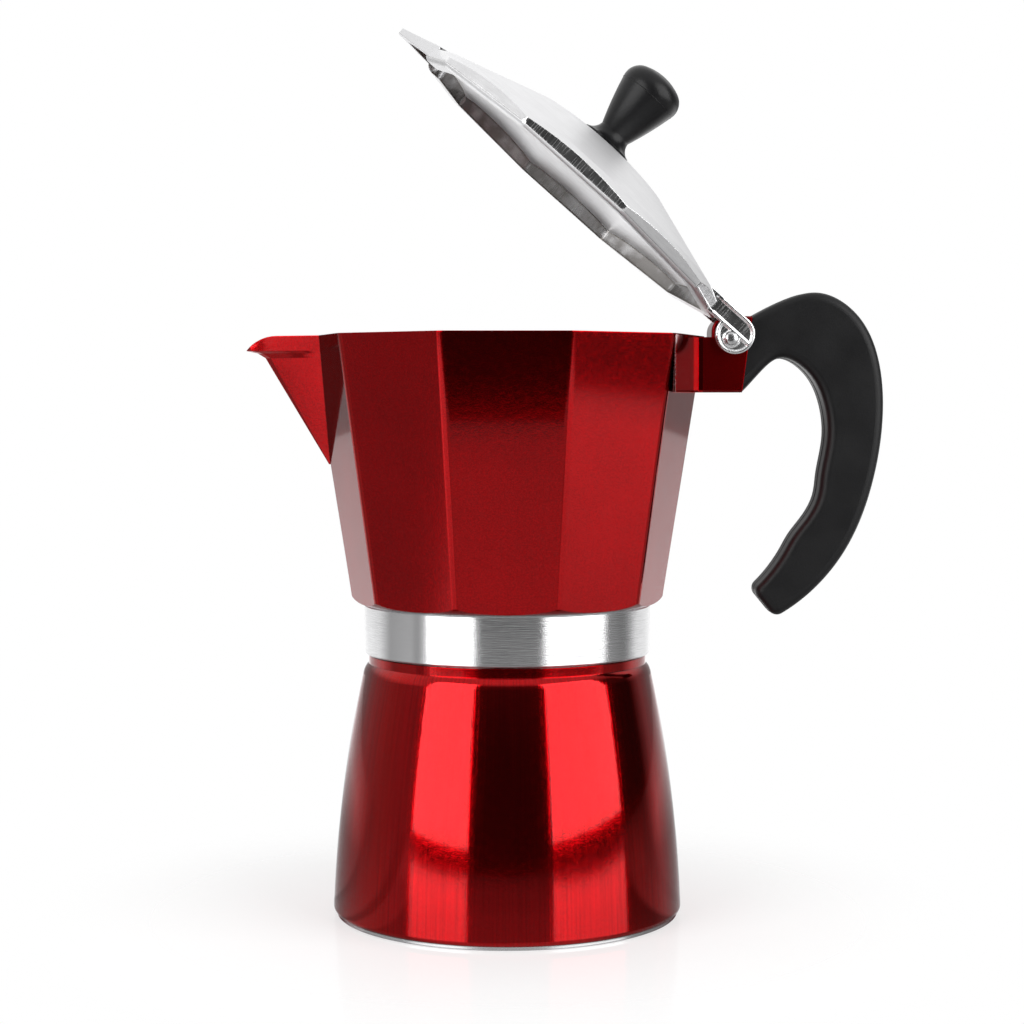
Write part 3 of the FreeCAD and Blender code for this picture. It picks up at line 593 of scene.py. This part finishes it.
# The colour toward which the inner sides are darkened as painted shade.
lid_painted_shade = (0.16, 0.145, 0.13, 1.0)
lid_open = math.radians(41.6)
lid_back = hinge_place - Matrix.Rotation(-lid_open, 3, "Y") @ hinge_place
lid_turn = (0.0, -lid_open, 0.0)
lid_opened = Matrix.Rotation(lid_open, 3, "Y")
lid_edge_radius = 0.0003
ear_edge_radius = 0.0008
ear_start = 0.0540
corner_reach = 0.0020
lid_edge_samples = 8


def swung_shut(tree, direction):
    """A direction on the open lid, turned back to the closed one."""
    return add_node(tree, "ShaderNodeMapping", {"Vector": direction, "Rotation": lid_turn},
                    vector_type="VECTOR").outputs[0]


def lid_corners(tree, facing):
    """Two masks inside the lid: the upright corners between its sides, lightened as painted highlight, and
    its level corners, darkened as painted shade.
    """
    lean_share, ridge_highlight_range, corner_shade_range = 0.6, (0.05, 0.16), (0.10, 0.45)
    rounded = rounded_edge(tree, corner_reach, lid_edge_samples)
    rounded = add_node(tree, "ShaderNodeVectorTransform", {0: rounded},
                       vector_type="NORMAL", convert_from="WORLD", convert_to="OBJECT").outputs[0]
    bend = vector_maths(tree, "SUBTRACT", swung_shut(tree, rounded), facing)
    lean = maths(tree, "ABSOLUTE", apart(tree, bend)[2])
    swing = vector_maths(tree, "LENGTH", vector_maths(tree, "MULTIPLY", bend, (1.0, 1.0, 0.0)))
    upright = maths(tree, "SUBTRACT", swing, maths(tree, "MULTIPLY", lean, lean_share))
    return ranged(tree, upright, *ridge_highlight_range), ranged(tree, lean, *corner_shade_range)


def lid_metal():
    """A satin dome with turning marks, polished sides with cutter marks, and painted shade within,
    lightened as painted highlight on the upright inner corners.
    """
    steepest_side, squarely_aside = 0.35, 0.93
    dome_fineness, dome_smoothest, dome_roughest = 2200.0, 0.42, 0.52
    cutter_scale, smear_scale, smear_height = (2300.0, 2300.0, 90.0), 170.0, 0.5
    side_smoothest, side_roughest, cut_roughness, ridge_roughness = 0.10, 0.22, 0.30, 0.60
    cutter_range, polish_range, inner_shade_range = (0.50, 0.62), (0.35, 0.65), (0.42, 0.66)
    darkest_inner_shade, lightest_inner_shade = 0.82, 0.45
    lid_bump = 0.10
    material, tree, shader = start_material("lid_aluminium")
    place = add_node(tree, "ShaderNodeTexCoord").outputs
    closed = add_node(tree, "ShaderNodeMapping", {"Vector": place["Object"], "Location": lid_back,
                                                 "Rotation": lid_turn}).outputs[0]
    facing = swung_shut(tree, place["Normal"])
    faces = apart(tree, facing)
    on_side = maths(tree, "LESS_THAN", maths(tree, "ABSOLUTE", faces[2]), steepest_side)
    on_ear = maths(tree, "GREATER_THAN", apart(tree, closed)[0], ear_start)
    dome = use_group(tree, turned_marks, {
        "Vector": closed, "Colour": lid_silver, "Fineness": dome_fineness, "Smoothest": dome_smoothest,
        "Roughest": dome_roughest})
    stretched = add_node(tree, "ShaderNodeMapping", {"Vector": closed, "Scale": cutter_scale}).outputs[0]
    cutter = ranged(tree, noise(tree, stretched, 1.0, 3.0), *cutter_range)
    smear = noise(tree, closed, smear_scale, 3.0)
    polish = ranged(tree, smear, *polish_range, side_smoothest, side_roughest)
    cut_face = maths(tree, "GREATER_THAN", maths(tree, "ABSOLUTE", faces[1]), squarely_aside)
    side_rough = mixed_value(tree, maths(tree, "MULTIPLY", cutter, cut_face), polish, cut_roughness)
    rough = mixed_value(tree, on_side, dome["Roughness"], side_rough)
    height = mixed_value(tree, on_side, dome["Height"], maths(tree, "MULTIPLY", smear, smear_height))
    turned_out = vector_maths(tree, "DOT_PRODUCT", closed, facing)
    inside = maths(tree, "MULTIPLY", on_side, maths(tree, "LESS_THAN", turned_out, 0.0))
    ridge_highlight, corner_shade = lid_corners(tree, facing)
    # Inside, the sides are darkened as painted shade, more along the level corners; the upright corners are
    # lightened as painted highlight.
    inner_shade = ranged(tree, smear, *inner_shade_range, darkest_inner_shade, lightest_inner_shade)
    inner_shade = maths(tree, "MAXIMUM", inner_shade, corner_shade)
    inner_shade = maths(tree, "MULTIPLY", inner_shade, maths(tree, "SUBTRACT", 1.0, ridge_highlight))
    rough = mixed_value(tree, maths(tree, "MULTIPLY", inside, ridge_highlight), rough, ridge_roughness)
    colour = mixed_colour(tree, maths(tree, "MULTIPLY", inside, inner_shade), dome["Colour"], lid_painted_shade)
    edge = rounded_edge(tree, mixed_value(tree, on_ear, lid_edge_radius, ear_edge_radius), lid_edge_samples)
    dress(tree, shader, colour, rough, bumped(tree, height, lid_bump, edge), {"Metallic": 1.0})
    return material


finish_node("lid", lid_metal())

# The knob is moulded from the same black plastic round a brass insert. A steel screw and washer
# hold it from inside the lid.
knob_parting_height = 0.2002
knob_screw_height = 0.1773
knob_recess = {"long": 0.0044, "wide": 0.0010, "deep": 0.0013}


def on_open_lid(height):
    """A point on the lid's own axis, given by its height on the closed lid."""
    return hinge_place + lid_opened @ (Vector((0.0, 0.0, height)) - hinge_place)


knob_plastic = moulded_plastic("knob_plastic", smoothest=0.26, roughest=0.36)
finish_node("lid_knob", knob_plastic)
finish_node("knob_insert", turned_metal("insert_brass", brass_yellow, lid_back, lid_turn))
knob_steel = turned_metal("knob_screw_steel", fastener_steel, lid_back, lid_turn)
finish_node("knob_screw", knob_steel)
finish_node("knob_washer", knob_steel)
knob_ring = seam_bead("lid_knob", "knob_ring", on_open_lid(knob_parting_height),
                      lid_opened @ Vector((0.0, 0.0, 1.0)), knob_plastic)
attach(knob_ring, "lid")
knob_fixing = cross_recessed("knob_screw", "knob_fixing", on_open_lid(knob_screw_height),
                             (0.0, lid_open, 0.0), knob_recess, knob_steel)
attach(knob_fixing, "lid")
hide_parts("knob_screw")

# The studio: a pale table with a slight polish, whose front edge stands between pot and camera,
# two tall soft lamps in front, and a white surround behind. In the pot's reflections the table glows by
# bearing as painted light, held lower near the pot as a painted shadow.
table_front = -0.50
table_back = 1.40
table_half_width = 1.20
table_sink = 0.0001
table_fade = (0.06, 0.145)
table_grey = (0.40, 0.40, 0.40, 1.0)
table_lift = 0.55
table_polish = 0.10
table_polish_roughness = 0.07
mirror_grey = (0.9, 0.9, 0.9, 1.0)
mirror_roughness = 0.10
mirror_ior = 1.5
# Nearer the pot the table's glow in its reflections is held lower: a painted shadow of the pot.
pot_shadow_reach, pot_shadow_levels = (0.2, 0.6), (0.62, 2.4)
overhead_rise = (0.45, 0.80)
wall_rise, wall_levels = (0.15, 0.42), (1.0, 2.4)
pure_white = (1.0, 1.0, 1.0, 1.0)
left_lamp = {"at": (-0.57, -0.57, 0.42), "size": (0.58, 0.79), "watts": 6.0}
right_lamp = {"at": (0.66, -0.45, 0.44), "size": (0.80, 0.81), "watts": 7.6}
lamp_target = Vector((0.0, 0.0, 0.11))
table_round = [(-180, 2.2), (-122, 1.9), (-104, 0.34), (-94, 0.50), (-79, 0.62), (-75, 0.31),
               (-70.5, 0.31), (-68.5, 1.15), (-60, 1.0), (-55, 0.36), (-34, 0.36), (-16, 0.74),
               (16, 0.76), (34, 0.44), (62, 0.28), (76, 0.22), (82, 0.70), (92, 0.70), (98, 0.56),
               (106, 0.56), (122, 1.9), (180, 2.2)]
surround_round = [(-180, 0.45), (-116, 0.45), (-102, 0.42), (-70, 0.36), (-62, 0.045), (62, 0.045),
                  (112, 0.03), (126, 0.40), (180, 0.45)]


def brightness_round(tree, way, stops):
    """Brightness by the bearing of a direction from the pot: nought is its front, left is negative."""
    bearing = maths(tree, "ARCTAN2", way[0], maths(tree, "MULTIPLY", way[1], -1.0))
    part = maths(tree, "ADD", maths(tree, "DIVIDE", bearing, 2 * math.pi), 0.5)
    ramp = add_node(tree, "ShaderNodeValToRGB", {0: part})
    elements = ramp.color_ramp.elements
    while len(elements) > 1:
        elements.remove(elements[0])
    for k, (degrees, level) in enumerate(stops):
        place = degrees / 360 + 0.5
        stop = elements[0] if k == 0 else elements.new(place)
        stop.position = place
        stop.color = (level, level, level, 1.0)
    return ramp.outputs[0]


def mixed_shader(tree, factor, first, second):
    """The output of a Mix Shader node."""
    return add_node(tree, "ShaderNodeMixShader", {0: factor, 1: first, 2: second}).outputs[0]


def build_table():
    """A white table for the camera; for what the pot mirrors, a table that glows by bearing as painted
    light, dimmer near the pot as a painted shadow.
    """
    bpy.ops.object.select_all(action="DESELECT")
    bpy.ops.mesh.primitive_plane_add(size=1.0)
    table = bpy.context.object
    table.name = "table"
    table.scale = (2 * table_half_width, table_back - table_front, 1.0)
    table.location = (0.0, (table_back + table_front) / 2, -table_sink)
    bpy.ops.object.transform_apply(location=True, rotation=False, scale=True)
    material, tree, shader = start_material("table_white")
    tree.nodes.remove(shader)
    rays = add_node(tree, "ShaderNodeLightPath").outputs
    place = add_node(tree, "ShaderNodeTexCoord").outputs["Object"]
    away = vector_maths(tree, "LENGTH", place)
    matt = add_node(tree, "ShaderNodeBsdfDiffuse", {"Color": table_grey}).outputs[0]
    lift = add_node(tree, "ShaderNodeEmission", {"Color": pure_white, "Strength": table_lift}).outputs[0]
    flat_white = add_node(tree, "ShaderNodeAddShader", {0: matt, 1: lift}).outputs[0]
    polish = add_node(tree, "ShaderNodeBsdfGlossy", {"Color": pure_white,
                                                    "Roughness": table_polish_roughness}).outputs[0]
    near = mixed_shader(tree, table_polish, flat_white, polish)
    clear = add_node(tree, "ShaderNodeBsdfTransparent").outputs[0]
    seen = mixed_shader(tree, ranged(tree, away, *table_fade, curve="SMOOTHSTEP"), near, clear)
    # Nearer the pot the glow is held lower: a painted shadow of the pot.
    pot_shadow_cap = ranged(tree, away, *pot_shadow_reach, *pot_shadow_levels)
    level = maths(tree, "MINIMUM", brightness_round(tree, apart(tree, place), table_round), pot_shadow_cap)
    # What the pot mirrors of the table glows by bearing: painted light in place of the lit table.
    painted_glow = add_node(tree, "ShaderNodeEmission", {"Color": pure_white, "Strength": level}).outputs[0]
    mirror = add_node(tree, "ShaderNodeBsdfGlossy", {"Color": mirror_grey,
                                                    "Roughness": mirror_roughness}).outputs[0]
    graze = add_node(tree, "ShaderNodeFresnel", {"IOR": mirror_ior}).outputs[0]
    mirrored = mixed_shader(tree, rays["Is Glossy Ray"], matt, mixed_shader(tree, graze, painted_glow, mirror))
    whole = mixed_shader(tree, rays["Is Camera Ray"], mirrored, seen)
    tree.links.new(whole, tree.nodes["Material Output"].inputs["Surface"])
    table.data.materials.append(material)


def build_lamp(name, lamp):
    """A soft rectangular lamp that stands upright and faces the pot."""
    light = bpy.data.lights.new(name, "AREA")
    light.shape = "RECTANGLE"
    light.size, light.size_y = lamp["size"]
    light.energy = lamp["watts"]
    holder = bpy.data.objects.new(name, light)
    holder.location = lamp["at"]
    aim = lamp_target - holder.location
    aim.z = 0.0
    holder.rotation_euler = aim.to_track_quat("-Z", "Y").to_euler()
    holder.visible_camera = False
    bpy.context.scene.collection.objects.link(holder)


def build_surround():
    """White for the camera; for the pot, a room that is brighter behind it and overhead."""
    world = bpy.data.worlds.new("studio")
    world.use_nodes = True
    bpy.context.scene.world = world
    tree = world.node_tree
    tree.nodes.clear()
    rays = add_node(tree, "ShaderNodeLightPath").outputs
    way = apart(tree, add_node(tree, "ShaderNodeTexCoord").outputs["Generated"])
    overhead = ranged(tree, way[2], *overhead_rise, curve="SMOOTHSTEP")
    higher = ranged(tree, way[2], *wall_rise, *wall_levels, curve="SMOOTHSTEP")
    walls = maths(tree, "MULTIPLY", brightness_round(tree, way, surround_round), higher)
    bright = maths(tree, "MAXIMUM", overhead, walls)
    grey = add_node(tree, "ShaderNodeBackground", {"Color": pure_white, "Strength": bright}).outputs[0]
    white = add_node(tree, "ShaderNodeBackground", {"Color": pure_white, "Strength": 1.0}).outputs[0]
    seen = maths(tree, "MAXIMUM", rays["Is Camera Ray"], rays["Is Transmission Ray"])
    add_node(tree, "ShaderNodeOutputWorld", {"Surface": mixed_shader(tree, seen, grey, white)})


build_table()
build_lamp("left_softbox", left_lamp)
build_lamp("right_softbox", right_lamp)
build_surround()

# The camera stands a little over half a metre in front of the pot, just below the height of its rim,
# and looks slightly down at it through a long lens.
camera_place = (0.001373, -0.624685, 0.146814)
camera_pitch = 2.92
camera_lens = 76.61
camera_sensor = 36.0
camera = bpy.data.cameras.new("camera")
camera.lens = camera_lens
camera.sensor_width = camera_sensor
camera_holder = bpy.data.objects.new("camera", camera)
camera_holder.location = camera_place
camera_holder.rotation_euler = (math.radians(90 - camera_pitch), 0.0, 0.0)
bpy.context.scene.collection.objects.link(camera_holder)
bpy.context.scene.camera = camera_holder
